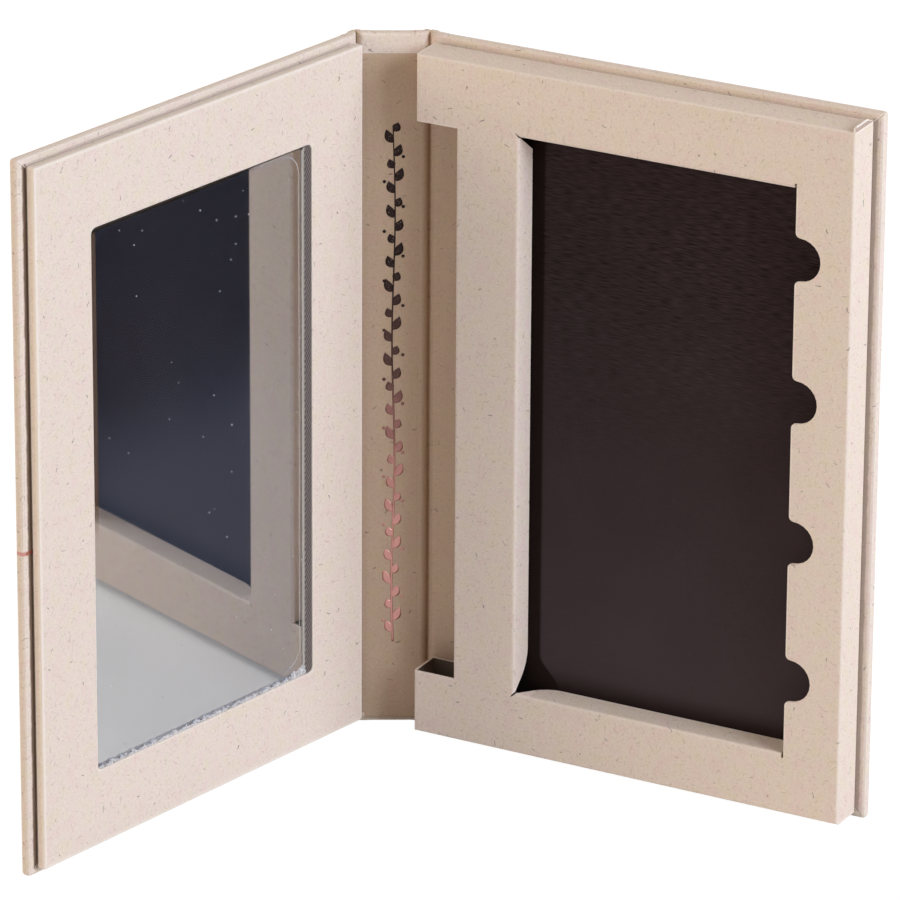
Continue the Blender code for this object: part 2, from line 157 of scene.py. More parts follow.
def point_values(piece, name, values):
    """Store one number for each point of a mesh."""
    attribute = piece.data.attributes.new(name, "FLOAT", "POINT")
    attribute.data.foreach_set("value", np.asarray(values, np.float32).ravel())


def ease(x):
    """A smooth step from 0 to 1."""
    x = np.clip(x, 0.0, 1.0)
    return x * x * (3.0 - 2.0 * x)


def waves(seed, x, y, scale, count=7):
    """A smooth wandering field: a sum of sine waves in seeded directions, of about a given size."""
    rng = np.random.default_rng(seed)
    total = np.zeros(np.broadcast(x, y).shape)
    for _ in range(count):
        heading, phase = rng.uniform(0.0, 2.0 * math.pi, 2)
        pitch = 2.0 * math.pi / (scale * rng.uniform(0.6, 1.6))
        total = total + np.sin(pitch * (np.cos(heading) * x + np.sin(heading) * y) + phase)
    return total / count


# ---- Nodes ----


class Value:
    """An output of a node. Sums and products with it are new nodes in the same tree."""

    def __init__(self, socket):
        self.socket, self.tree = socket, socket.id_data

    def __add__(self, other):
        return maths("ADD", self, other)

    def __sub__(self, other):
        return maths("SUBTRACT", self, other)

    def __rsub__(self, other):
        return maths("SUBTRACT", other, self)

    def __mul__(self, other):
        return maths("MULTIPLY", self, other)

    def __truediv__(self, other):
        return maths("DIVIDE", self, other)


def connect(made, inputs):
    """Link or set the inputs of a node."""
    for key, value in inputs.items():
        if isinstance(value, Value):
            value.tree.links.new(value.socket, made.inputs[key])
        else:
            made.inputs[key].default_value = value


def node(kind, inputs, tree=None, **settings):
    """A node with its settings and inputs, in the tree of the first input that is a Value."""
    tree = tree or next(value.tree for value in inputs.values() if isinstance(value, Value))
    made = tree.nodes.new(kind)
    for key, value in settings.items():
        setattr(made, key, value)
    connect(made, inputs)
    return made


def result(kind, inputs, tree=None, **settings):
    """The first output of a new node."""
    return Value(node(kind, inputs, tree, **settings).outputs[0])


def results(kind, inputs, tree=None, **settings):
    """The outputs of a new node by their names."""
    made = node(kind, inputs, tree, **settings)
    return {output.name: Value(output) for output in made.outputs}


def maths(operation, *values, clamp=False):
    """One step of arithmetic on values and numbers."""
    return result("ShaderNodeMath", dict(enumerate(values)), operation=operation, use_clamp=clamp)


def largest(first, *others):
    """The largest of several values."""
    for other in others:
        first = maths("MAXIMUM", first, other)
    return first


def vectors(operation, *values):
    """One step of arithmetic on vectors."""
    return result("ShaderNodeVectorMath", dict(enumerate(values)), operation=operation)


def vector(x, y, z=0.0):
    """A vector of three values or numbers."""
    return result("ShaderNodeCombineXYZ", {0: x, 1: y, 2: z})


def parts(place):
    """The three coordinates of a place."""
    return results("ShaderNodeSeparateXYZ", {0: place}).values()


def step_down(value, near, far):
    """1 below near, falling smoothly to 0 at far."""
    return result("ShaderNodeMapRange", {"Value": value, "From Min": near, "From Max": far,
                                         "To Min": 1.0, "To Max": 0.0},
                  interpolation_type="SMOOTHSTEP")


def step_up(value, near, far):
    """0 below near, rising smoothly to 1 at far."""
    return 1.0 - step_down(value, near, far)


def blend_colour(share, a, b, way="MIX"):
    """Two colours blended by a share."""
    made = node("ShaderNodeMix", {0: share, 6: a, 7: b}, data_type="RGBA", blend_type=way)
    return Value(made.outputs[2])


def noise(place, scale, detail=2.0, flat=False, output="Fac"):
    """A noise value about 0.5, in space or over a flat place."""
    return results("ShaderNodeTexNoise", {"Vector": place, "Scale": scale, "Detail": detail},
                   noise_dimensions="2D" if flat else "3D")[output]


def ramp(value, *stops):
    """A colour ramp through stops of a position and a colour, in rising order."""
    made = node("ShaderNodeValToRGB", {0: value})
    marks = made.color_ramp.elements
    marks[0].position, marks[0].color = stops[0]
    marks[1].position, marks[1].color = stops[-1]
    for position, colour in stops[1:-1]:
        marks.new(position).color = colour
    return Value(made.outputs[0])


def bumped(height, strength, distance):
    """A normal tilted by a height."""
    return result("ShaderNodeBump", {"Strength": strength, "Distance": distance, "Height": height})


def start_group(name, inputs):
    """A shader node group with its inputs, {name: default}, and their values by name."""
    tree = bpy.data.node_groups.new(name, "ShaderNodeTree")
    for key, default in inputs.items():
        size = len(default) if isinstance(default, tuple) else 1
        kind = {1: "NodeSocketFloat", 3: "NodeSocketVector", 4: "NodeSocketColor"}[size]
        tree.interface.new_socket(key, in_out="INPUT", socket_type=kind).default_value = default
    return tree, results("NodeGroupInput", {}, tree)


def end_group(tree, outputs):
    """Give a group its outputs, {name: value}."""
    for key, value in outputs.items():
        kind = "NodeSocketColor" if value.socket.type == "RGBA" else "NodeSocketFloat"
        tree.interface.new_socket(key, in_out="OUTPUT", socket_type=kind)
    node("NodeGroupOutput", outputs, tree)
    return tree


def use_group(group, inputs):
    """The outputs of a group placed with inputs of its own."""
    return results("ShaderNodeGroup", inputs, node_tree=group)


# ---- Shared effects ----


def scattered_fibres_group():
    """Short curved fibres in random places and directions.

    The plane is cut into cells. In a share of them lies one fibre: the distance to a line of
    limited length, bowed by the square of the place along it, compared with half its width.
    """
    tree, given = start_group("Scattered fibres", {
        "Vector": (0, 0, 0), "Cell": 3.0, "Half Length": 0.8, "Half Width": 0.06, "Bow": 0.8,
        "Share": 0.5, "Seed": 0.0})
    cell = vector(given["Cell"], given["Cell"], given["Cell"])
    place = vectors("DIVIDE", given["Vector"], cell)
    place = vectors("ADD", place, vector(given["Seed"], given["Seed"]))
    cells = results("ShaderNodeTexVoronoi", {"Vector": place, "Scale": 1.0, "Randomness": 0.85},
                    voronoi_dimensions="2D")
    dice = results("ShaderNodeSeparateColor", {0: cells["Color"]})
    away = vectors("MULTIPLY", vectors("SUBTRACT", place, cells["Position"]), cell)
    along, across, _ = parts(result(
        "ShaderNodeVectorRotate", {"Vector": away, "Angle": dice["Red"] * (2.0 * math.pi)},
        rotation_type="Z_AXIS"))
    bend = (dice["Green"] - 0.5) * given["Bow"]
    across = across - bend * (along * along)
    reach = given["Half Length"] * (dice["Blue"] * 0.7 + 0.3)
    past = largest(maths("ABSOLUTE", along) - reach, 0.0)
    distance = maths("SQRT", past * past + across * across)
    line = step_down(distance, given["Half Width"] * 0.5, given["Half Width"] * 1.5)
    chance = results("ShaderNodeTexWhiteNoise", {"Vector": cells["Position"]},
                     noise_dimensions="2D")
    there = maths("LESS_THAN", chance["Value"], given["Share"])
    tint = results("ShaderNodeSeparateColor", {0: chance["Color"]})["Green"]
    return end_group(tree, {"Mask": line * there, "Tint": tint})


fibres = scattered_fibres_group()


def scatter(place, cell, half_length, half_width, bow, share, seed):
    """Fibres scattered over a place."""
    return use_group(fibres, {"Vector": place, "Cell": cell, "Half Length": half_length,
                              "Half Width": half_width, "Bow": bow, "Share": share, "Seed": seed})


def fibre_paper_group():
    """Plant-fibre paper, in millimetres on a leaf: straw and pink mottling, fine grain, faint and
    brown curled fibres, dark flecks and dots."""
    tree, given = start_group("Plant fibre paper", {
        "Vector": (0, 0, 0), "Tone": (0.8, 0.7, 0.65, 1), "Fleck": (0.11, 0.085, 0.078, 1),
        "Fibre": (0.40, 0.29, 0.20, 1), "Seed": 0.0})
    x, y, z = parts(given["Vector"])
    flat = vector(x + y + given["Seed"], y * 0.6 + z)
    wander = vectors("SUBTRACT", noise(flat, 0.9, 1.0, True, "Color"), (0.5, 0.5, 0.5))
    curled = vectors("MULTIPLY_ADD", wander, (0.7, 0.7, 0.0), flat)

    # Mottling: straw, plain and pink patches of a few millimetres
    patches = ramp(noise(flat, 0.26, 3.0, True), (0.32, (0.985, 0.980, 0.905, 1)),
                   (0.5, (1.0, 0.99, 0.975, 1)), (0.68, (1.0, 0.940, 0.950, 1)))
    colour = blend_colour(1.0, given["Tone"], patches, "MULTIPLY")

    # Brightness: cloudy at half a millimetre, grainy at a quarter
    cloud = noise(flat, 1.8, 3.0, True)
    grain = noise(flat, 4.2, 2.0, True)
    light = (cloud * 0.20 + 0.90) + (grain * 0.22 - 0.11)
    shade = result("ShaderNodeCombineColor", {0: light, 1: light, 2: light})
    colour = blend_colour(1.0, colour, shade, "MULTIPLY")

    # Each kind of fibre: its place, its shape (cell, half length, half width, bow, share of the
    # cells and seed), its colour, and its strength as a factor of its random tint and a start
    masks = {}
    for kind, place, shape, tone, factor, start in (
            ("faint", curled, (1.5, 0.50, 0.085, 1.6, 0.68, 3.1), "Fibre", 0.32, 0.06),
            ("brown", curled, (3.1, 0.85, 0.072, 1.2, 0.42, 11.7), "Fibre", 0.38, 0.10),
            ("dark", curled, (4.8, 0.50, 0.095, 0.6, 0.42, 23.9), "Fleck", 0.65, 0.15),
            ("dots", flat, (1.9, 0.08, 0.095, 0.0, 0.34, 37.3), "Fleck", 0.30, 0.06)):
        made = scatter(place, *shape)
        masks[kind] = made["Mask"]
        strength = made["Tint"] * factor + start
        colour = blend_colour(made["Mask"] * strength, colour, given[tone])
    height = grain * 0.5 + cloud * 0.6 + masks["brown"] * 0.5 + masks["dark"] * 0.5
    return end_group(tree, {"Color": colour, "Roughness": cloud * 0.12 + 0.76, "Height": height})


def outside_box(place, middle, half):
    """How far a place lies outside a box along each axis, negative between the faces."""
    away = vectors("ABSOLUTE", vectors("SUBTRACT", place, middle))
    return parts(vectors("SUBTRACT", away, half))


def box_folds_group():
    """Lines along the twelve edges of a box.

    An edge is where the distances outside the box are near zero along two axes: the root of the
    sum of their squares, plus four times what the third lies outside, compared with a broken
    width.
    """
    tree, given = start_group("Box folds", {
        "Vector": (0, 0, 0), "Middle": (0, 0, 0), "Half": (1, 1, 1), "Width": 0.3})
    outside = list(outside_box(given["Vector"], given["Middle"], given["Half"]))
    squares = [distance * distance for distance in outside]
    total = squares[0] + squares[1] + squares[2]
    edges = []
    for distance, square in zip(outside, squares):
        pair = maths("SQRT", largest(total - square, 0.0))
        edges.append(largest(distance, 0.0) * 4.0 + pair)
    nearest = maths("MINIMUM", maths("MINIMUM", edges[0], edges[1]), edges[2])
    width = given["Width"] * (noise(given["Vector"], 1.1, 3.0) * 0.9 + 0.35)
    return end_group(tree, {"Mask": step_down(nearest, width * 0.3, width)})


def mitres_group():
    """Mitred corners of the paper turned over a cover's edges, and painted shade in the gap beside
    what is glued on.

    Where the distances to the free edge and to the nearer of the top and bottom are equal, the
    two turn-ins meet: a short line on the slant on the inside face, with a fold beside it. The
    painted shade is a band of either distance.
    """
    tree, given = start_group("Mitred corners", {
        "Vector": (0, 0, 0), "Side": 1.0, "Reach": 2.1, "Width": 0.12})
    x, y, z = parts(given["Vector"])
    width = given["Width"]
    middle = COVER_HEIGHT / MM / 2
    to_edge = COVER_WIDTH / MM - x * given["Side"]
    to_end = middle - maths("ABSOLUTE", z - middle)
    apart = to_edge - to_end
    inside_face = step_down(y, -1.9, -1.4)
    here = inside_face * step_down(to_edge, given["Reach"], given["Reach"] + 0.6)
    seam = step_down(maths("ABSOLUTE", apart), width * 0.5, width)
    fold = step_down(maths("ABSOLUTE", apart - width * 2.2), width, width * 2.0)
    ragged = noise(given["Vector"], 0.35) * 0.5 - 0.25
    past_rims = step_up(to_edge + ragged, 1.10, 1.60) * step_up(to_end + ragged, 1.15, 1.45)
    band = largest(step_down(to_edge, 2.3, 2.6), step_down(to_end, 1.8, 2.0) * 0.25)
    return end_group(tree, {"Seam": seam * here, "Fold": fold * here,
                            "Gap Shade": band * inside_face * past_rims})


def dust_group():
    """Rare pale round specks of dust on a smooth surface, of uneven strength."""
    tree, given = start_group("Dust", {
        "Vector": (0, 0, 0), "Cell": 6.0, "Size": 0.12, "Share": 0.3})
    specks = scatter(given["Vector"], given["Cell"], 0.03, given["Size"], 0.0, given["Share"], 5.5)
    return end_group(tree, {"Mask": specks["Mask"] * specks["Tint"]})


fibre_paper = fibre_paper_group()
box_folds = box_folds_group()
mitres = mitres_group()
dust = dust_group()


# ---- Papers ----


def new_material(name):
    """A material with its Principled shader."""
    material = bpy.data.materials.new(name)
    material.use_nodes = True
    return material, material.node_tree.nodes["Principled BSDF"]


def object_place(shader):
    """Object coordinates, in the tree of a shader."""
    return results("ShaderNodeTexCoord", {}, shader.id_data)["Object"]


def leaf_material(name, leaf):
    """A material, its shader, and object coordinates turned and moved to a leaf's own: (side
    times u, minus w, z), in millimetres."""
    material, shader = new_material(name)
    crease, turn, _ = LEAVES[leaf]
    moved = turned(-turn) @ crease / -MM
    place = result("ShaderNodeMapping", {
        "Vector": object_place(shader), "Location": (moved[0], moved[1], 0.0),
        "Rotation": (0.0, 0.0, -turn), "Scale": (1.0 / MM, 1.0 / MM, 1.0 / MM)})
    return material, shader, place


def leaf_box(leaf, u, w, z):
    """Middle and half size of a box on a leaf, in the leaf's own millimetres."""
    side = LEAVES[leaf][2]
    ends = (side * u[0], side * u[1]), (-w[0], -w[1]), z
    middle = tuple((low + high) / MM / 2 for low, high in ends)
    half = tuple(abs(high - low) / MM / 2 for low, high in ends)
    return middle, half


class Paper:
    """Fibre paper on one leaf, paler along the given folds by wear and by a painted highlight:
    (u, w, z, width in millimetres).
    """

    def __init__(self, name, leaf, tone, seed, folds=(), wear_and_painted_highlight=0.45):
        self.leaf = leaf
        self.material, self.shader, self.place = leaf_material(name, leaf)
        made = use_group(fibre_paper, {"Vector": self.place, "Tone": tone, "Seed": seed})
        self.colour, self.roughness = made["Color"], made["Roughness"]
        connect(self.shader, {
            "Base Color": self.colour, "Roughness": self.roughness,
            "Normal": bumped(made["Height"], 0.6, 0.00006), "Specular IOR Level": 0.25})
        # Paler lines along the folds: partly wear, partly a painted highlight where the edges catch
        # light
        for u, w, z, width in folds:
            middle, half = leaf_box(leaf, u, w, z)
            worn = use_group(box_folds, {"Vector": self.place, "Middle": middle, "Half": half,
                                         "Width": width})
            self.retone(worn["Mask"] * wear_and_painted_highlight, PALE_TONE)

    def retone(self, share, tone, way="MIX"):
        """Blend the paper's colour with another tone by a share."""
        self.colour = blend_colour(share, self.colour, tone, way)
        connect(self.shader, {"Base Color": self.colour})

    def retone_inside(self, u, w, z, tone, way="MIX"):
        """Another tone inside a box, with borders that are soft over a fifth of a millimetre."""
        outside = outside_box(self.place, *leaf_box(self.leaf, u, w, z))
        along, off, up = (step_down(distance, -0.1, 0.1) for distance in outside)
        self.retone(along * (off * up) * 0.9, tone, way)

    def add_mitres(self, seam, gap_shade):
        """The slanting seams at a cover's two free corners, the fold beside each, made paler as a
        painted highlight, and painted brown shade in the gap beside the frame or the tray, by the
        given strengths."""
        made = use_group(mitres, {"Vector": self.place, "Side": LEAVES[self.leaf][2]})
        # Painted shade: brown in the gap beside the frame or the tray
        self.retone(made["Gap Shade"] * gap_shade, (0.13, 0.065, 0.028, 1))
        # Painted highlight: the fold beside each mitre is made paler
        self.retone(made["Fold"] * 0.55, PALE_TONE)
        self.retone(made["Seam"] * seam, (0.20, 0.15, 0.13, 1))

    def add_foil_line(self, level, half):
        """A foil line across a leaf: a band of z, rose and metallic, with a slightly worn edge."""
        _, _, z = parts(self.place)
        rough = noise(self.place, 3.0) * 0.16 - 0.08
        band = step_down(maths("ABSOLUTE", z - level) + rough, half - 0.04, half + 0.04)
        self.retone(band, (0.72, 0.36, 0.33, 1))
        connect(self.shader, {"Metallic": band,
                              "Roughness": self.roughness + band * (0.22 - self.roughness)})


def cover_folds(leaf):
    """The folds round a cover or the spine."""
    end = SPINE_WIDTH if leaf == "spine" else COVER_WIDTH
    return [((0.0, end), (0.0, COVER_THICKNESS), (0.0, COVER_HEIGHT), 0.8)]


def cover_paper(leaf, seed):
    """The outer paper of a cover or the spine."""
    return Paper(leaf + "_fibre_paper", leaf, COVER_TONE, seed, cover_folds(leaf), wear_and_painted_highlight=0.30)


back_paper = cover_paper("back_cover", 0.0)
back_paper.add_mitres(seam=0.55, gap_shade=0.45)
spine_paper = cover_paper("spine", 140.0)
front_paper = cover_paper("front_cover", 310.0)
front_paper.add_mitres(seam=0.20, gap_shade=0.85)
front_paper.add_foil_line(level=68.9, half=0.40)

# A face of a box that should draw no folds lies well clear of the paper
frame_paper = Paper(
    "mirror_frame_fibre_paper", "front_cover", COVER_TONE, 520.0,
    [(PANEL_U, FRAME_W, PANEL_Z, 1.2),
     (MIRROR_WINDOW_U, (-0.01, FRAME_W[1]), MIRROR_WINDOW_Z, 0.5)], wear_and_painted_highlight=0.7)
tray_card = Paper(
    "tray_fibre_card", "back_cover", CARD_TONE, 730.0,
    [(PANEL_U, TRAY_W, PANEL_Z, 0.75),
     ((-0.01, SLOT_U), (0.0, TRAY_W[1]), SLOT_Z, 0.6),
     (PAN_WINDOW_U, (-0.01, TRAY_W[1]), PAN_WINDOW_Z, 0.6)], wear_and_painted_highlight=0.5)
back_liner = Paper("slot_liner_paper", "back_cover", LINER_TONE, 60.0)
# Painted shade in the hollow pockets over and under the slot, and painted light that makes the
# flap on the slot's side of the window paler
for pocket_z in ((0.0019, SLOT_Z[0] - 0.0001), (SLOT_Z[1] + 0.0001, 0.1481)):
    for paper in (tray_card, back_liner):
        paper.retone_inside((0.0027, SLOT_U - 0.0001), (0.0019, TRAY_W[1] - 0.0003), pocket_z,
                            POCKET_SHADE_TONE)
# Painted light: the flap on the slot's side of the window is made paler
tray_card.retone_inside((0.0250, 0.0290), (0.0040, 0.0104), (0.0140, 0.1354),
                        (1.17, 1.17, 1.19, 1), "MULTIPLY")
spine_liner = Paper(
    "spine_liner_paper", "spine", LINER_TONE, 200.0,
    [((-0.02, 0.04), (0.0, 0.00225), (LINER_FOOT, LINER_HEAD), 0.22)], wear_and_painted_highlight=0.8)
front_liner = Paper("front_liner_paper", "front_cover", LINER_TONE, 400.0)


# ---- Other materials ----


def board_material():
    """Grey board: felted grey fibres with darker and paler specks."""
    material, shader, place = leaf_material("grey_board_stock", "back_cover")
    grain = noise(place, 2.2, 4.0)
    colour = ramp(grain, (0.35, (0.20, 0.19, 0.17, 1)), (0.65, (0.36, 0.34, 0.31, 1)))
    connect(shader, {"Base Color": colour, "Normal": bumped(grain, 0.7, 0.0001),
                     "Roughness": 0.95})
    return material


def sheet_material():
    """The black magnetic sheet: matt brown-black, with a painted sheen that makes it paler and a
    little bluer towards its foot, fine level lines in its upper half, a painted shadow beside the
    flap and along the foot, and rare dust."""
    material, shader, place = leaf_material("black_magnetic_sheet_vinyl", "back_cover")
    u, _, z = parts(place)
    stretched = result("ShaderNodeMapping", {"Vector": place, "Scale": (0.08, 0.08, 1.0)})
    shown = step_down(z, 58.0, 118.0) * -0.94 + 1.0
    lines = (noise(stretched, 4.6, 0.6) - 0.5) * shown + 0.5
    patches = noise(place, 0.05, 1.0)
    grain = noise(place, 7.0)
    colour = ramp(lines, (0.24, (0.0175, 0.0122, 0.0130, 1)), (0.76, (0.0595, 0.0428, 0.0452, 1)))
    # Painted sheen: the sheet grows paler and a little bluer towards its foot, in patches
    wear_and_painted_sheen = step_down(patches * 40.0 + z, 20.0, 150.0)
    light = blend_colour(wear_and_painted_sheen, (0.85, 0.80, 0.80, 1), (1.60, 1.65, 1.75, 1))
    colour = blend_colour(1.0, colour, light, "MULTIPLY")

    # Painted shadow: a dark strip beside the flap that widens at the foot's corner, and a band
    # along the foot
    corner = step_down(z, 15.0, 22.0) * 4.5
    strip = largest(step_down(grain * 0.3 + (u - corner), 28.5, 29.3),
                    step_down(z, 15.0, 20.5) * 0.85)
    colour = blend_colour(strip * 0.85, colour, (0.0105, 0.0055, 0.0040, 1))
    specks = use_group(dust, {"Vector": place, "Cell": 7.0, "Size": 0.07, "Share": 0.35})["Mask"]
    colour = blend_colour(specks * 0.4, colour, (0.30, 0.27, 0.25, 1))

    relief = maths("MULTIPLY_ADD", patches, 1.6, -0.3, clamp=True)
    normal = bumped(grain * 0.35 + lines * relief, 0.8, 0.00012)
    connect(shader, {"Base Color": colour, "Roughness": grain * 0.15 + 0.42, "Normal": normal,
                     "Specular IOR Level": 0.01})
    return material


def mirror_material():
    """The silvered plate: cool and a little dim behind its film, with faint haze."""
    material, shader, place = leaf_material("silvered_mirror", "front_cover")
    haze = noise(place, 0.06, 3.0)
    tint = blend_colour(haze, (0.64, 0.65, 0.66, 1), (0.69, 0.70, 0.705, 1))
    # The plate is bonded a little out of parallel: the height is a slanted plane over u and z
    x, _, z = parts(place)
    lean = x * -math.tan(math.radians(0.27)) + z * math.tan(math.radians(0.51))
    connect(shader, {"Base Color": tint, "Roughness": haze * 0.03 + 0.012,
                     "Normal": bumped(lean, 1.0, MM), "Metallic": 1.0})
    return material


def metal_material(name, tone, roughness):
    """Plated metal, with faint stains and of uneven gloss."""
    material, shader = new_material(name)
    place = object_place(shader)
    dark = tuple(0.8 * part for part in tone[:3]) + (1,)
    connect(shader, {"Base Color": blend_colour(noise(place, 300.0), tone, dark),
                     "Roughness": noise(place, 900.0, 3.0) * 0.2 + (roughness - 0.1),
                     "Metallic": 1.0})
    return material


def glue_material():
    """A pale double-sided glue sheet with small trapped bubbles."""
    material, shader, place = leaf_material("glue_sheet_acrylic", "front_cover")
    bubbles = scatter(place, 2.0, 0.05, 0.25, 0.0, 0.4, 1.0)["Mask"]
    colour = blend_colour(bubbles, (0.72, 0.69, 0.60, 1), (0.85, 0.83, 0.77, 1))
    connect(shader, {"Base Color": colour, "Roughness": 0.45})
    return material


steel = metal_material("plated_steel_disc", (0.60, 0.60, 0.60, 1), 0.32)
nickel = metal_material("nickel_magnet", (0.66, 0.64, 0.60, 1), 0.28)
finishes = {
    back_paper.material: ["back_cover_wrap"], spine_paper.material: ["spine_wrap"],
    front_paper.material: ["front_cover_wrap"], frame_paper.material: ["mirror_frame_wrap"],
    tray_card.material: ["tray_shell"], back_liner.material: ["back_pastedown"],
    spine_liner.material: ["spine_liner"], front_liner.material: ["front_pastedown"],
    board_material(): ["back_cover_board", "front_cover_board", "spine_board",
                       "mirror_frame_board", "tray_floor_board"],
    sheet_material(): ["magnetic_sheet"], mirror_material(): ["mirror"],
    glue_material(): ["mirror_adhesive_sheet", "mirror_film"],
    nickel: ["closure_magnet_top", "closure_magnet_bottom"],
    steel: ["closure_plate_top", "closure_plate_bottom"],
}
for finish, node_names in finishes.items():
    for node_name in node_names:
        materials = nodes[node_name].data.materials
        materials.clear()
        materials.append(finish)


# ---- Hinge papers ----


def creased_paper(name, tone, seed, crease_shade):
    """Paper of the spine's, with painted shade where its attribute crease is high."""
    paper = Paper(name, "spine", tone, seed, cover_folds("spine"), wear_and_painted_highlight=0.3)
    crease = results("ShaderNodeAttribute", {}, paper.place.tree, attribute_name="crease")["Fac"]
    # Painted shade in the hinge's valley
    paper.retone(crease, crease_shade, "MULTIPLY")
    return paper.material


hinge_materials = [
    creased_paper("creased_fibre_paper", COVER_TONE, 140.0, (0.80, 0.72, 0.62, 1)),
    creased_paper("creased_liner_paper", LINER_TONE, 200.0, (0.74, 0.62, 0.50, 1))]


def hinge_paper(name, cover, spine_start, spine_sign, valley, seed):
    """The creased paper of one hinge, from inside the cover's edge to inside the spine's.

    A rounded upright rectangle in w and z is carried round the crease: its outer side stays just
    over the outer skins, and its thickness is the valley's at the crease and climbs as a softened
    sine to each board's, past which its inner side lies just over the board's and then sinks
    under it. Its ends are rounded by half its thickness, at most the cover's own rounding. The
    attribute crease is 1 in the valley and 0 by the boards.
    """
    bend_reach, bend_steps, setback_row = 0.0006, 9, 4
    proud, top_proud, sunk_by, sunk_over = 0.00003, 0.00002, 0.00007, 0.0008
    end_radius, inside_from, thin, waved_by = 0.0007, 0.0003, 0.0017, 0.00006
    cover_run = np.array([4.3, 3.8, 3.3, 2.8, 2.45, 2.2, 1.9, 1.6, 1.3, 1.0, 0.75]) * MM
    spine_run = np.array([0.75, 0.95, 1.2, 1.45, 1.7, 1.95, 2.4, 2.9, 3.4]) * MM

    def skin(leaf, run, start=0.0, sign=1.0):
        """Places on a leaf's outer skin, in plan, and the way from each to the inside."""
        outer, inner = (leaf_points(leaf, start + sign * run, w, 0.0)[:, :2]
                        for w in (0.0, COVER_THICKNESS))
        return outer, (inner - outer) / COVER_THICKNESS

    # The run from the cover over a bend, a curve drawn towards the crease, to the spine
    cover_skin, cover_way = skin(cover, cover_run)
    spine_skin, spine_way = skin("spine", spine_run, spine_start, spine_sign)
    (near_skin, crease), (near_way, _) = skin(cover, np.array([bend_reach, 0.0]))
    (far_skin,), (far_way,) = skin("spine", np.array([bend_reach]), spine_start, spine_sign)
    t = np.linspace(0.0, 1.0, bend_steps)[:, None]
    bend_skin = (1 - t) ** 2 * near_skin + 2 * t * (1 - t) * crease + t ** 2 * far_skin
    bend_way = (1 - t) * near_way + t * far_way
    bend_way = bend_way / np.linalg.norm(bend_way, axis=1, keepdims=True)
    outer = np.concatenate([cover_skin, bend_skin, spine_skin])
    way = np.concatenate([cover_way, bend_way, spine_way])
    run = np.concatenate([cover_run, bend_reach * np.abs(1.0 - 2.0 * t[:, 0]), spine_run])
    on_cover = np.arange(len(run)) < len(cover_run) + bend_steps // 2 + 1
    setback = np.where(on_cover, HINGE_SETBACK, SPINE_SETBACK)

    share = np.minimum(run / setback, 1.0)
    climb = 0.45 * np.sin(share * math.pi / 2) + 0.55 * ease(share)
    sunk = ease((run - setback - sunk_over) / sunk_over)
    thickness = valley + (COVER_THICKNESS + proud - valley) * climb - sunk_by * sunk
    span = thickness + proud
    radius = np.minimum(end_radius, span / 2)[:, None]
    thickness = thickness[:, None]

    # The profile: up the outer side, over the top, down the inner side and under the bottom. Its
    # levels lie close together where the liner and the turn-ins end
    levels = np.array([0.7, 2.0, 4.15, 4.35, 12, 40, 75, 110, 138, 145.65, 145.85, 148, 149.3]) * MM
    low, high = 0.0, COVER_HEIGHT + top_proud
    up = np.clip(levels[None, :], low + radius, high - radius)
    quarter = np.linspace(0.0, math.pi / 2, 5)
    rising, curving = radius * np.sin(quarter), radius * (1 - np.cos(quarter))
    w = np.concatenate([
        np.full_like(up, -proud), curving - proud, thickness - radius + rising,
        thickness * np.ones_like(up), thickness - curving, radius - proud - rising], axis=1)
    z = np.concatenate([
        up, high - radius + rising, high - curving,
        up[:, ::-1], low + radius - rising, low + curving], axis=1)
    on_inside = w > inside_from
    wobble = waved_by * waves(seed, z, 0.0 * z, 0.020) * on_inside * (span < thin)[:, None]
    plan = outer[:, None, :] + way[:, None, :] * (w + wobble)[:, :, None]
    points = np.concatenate([plan, z[:, :, None]], axis=2)
    rows, columns = w.shape
    quads = grid_quads(rows, columns, closed=True)
    first, last = end_faces(rows, columns)
    piece = make_piece(name, points, quads, hinge_materials, extra=[first, last[::-1]])

    # The liner's paper lies on the inside, up to the outer paper's turn-in
    middle_z = z.mean(axis=0)
    lined = ((w[:-1].mean(axis=0) > inside_from) & (middle_z > LINER_FOOT)
             & (middle_z < COVER_HEIGHT - TURN_IN))
    index = np.zeros(len(piece.data.polygons), np.int32)
    index[:len(quads)] = np.tile(lined & np.roll(lined, -1), rows - 1)
    piece.data.polygons.foreach_set("material_index", index)
    point_values(piece, "crease", (1.0 - ease(run / (0.9 * setback)))[:, None] * on_inside)
    bpy.context.view_layer.update()
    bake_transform(piece)


hinge_paper("back_hinge_paper", "back_cover", 0.0, 1.0, valley=0.0009, seed=7)
hinge_paper("front_hinge_paper", "front_cover", SPINE_WIDTH, -1.0, valley=0.0007, seed=8)


# ---- Liner of the spine, with its foil sprig ----


def spine_liner_sheet():
    """The liner pasted over the inside of the spine: a level sheet that waves by two hundredths
    of a millimetre and sinks under the hinge papers at its sides, thickened towards the board."""
    rows, columns, level = 45, 190, 0.00227
    sunk_by, sunk_over, sunk_near, sunk_far = 0.0001, 0.0009, 0.0027, 0.0128
    s = np.linspace(0.0017, 0.0138, rows)[:, None]
    z = np.linspace(LINER_FOOT, LINER_HEAD, columns)[None, :]
    w = level + 0.000015 * waves(21, s, z, 0.012) + 0.00001 * waves(22, s, z, 0.004)
    w = w - sunk_by * (ease((sunk_near - s) / sunk_over) + ease((s - sunk_far) / sunk_over))
    points = leaf_points("spine", s, w, z)
    sheet = make_piece("spine_liner_sheet", points,
                       faced_inward("spine", points, grid_quads(rows, columns)),
                       [spine_liner.material], "spine")
    thicken(sheet, "paper", 0.0002, -1.0)
    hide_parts("spine_liner")


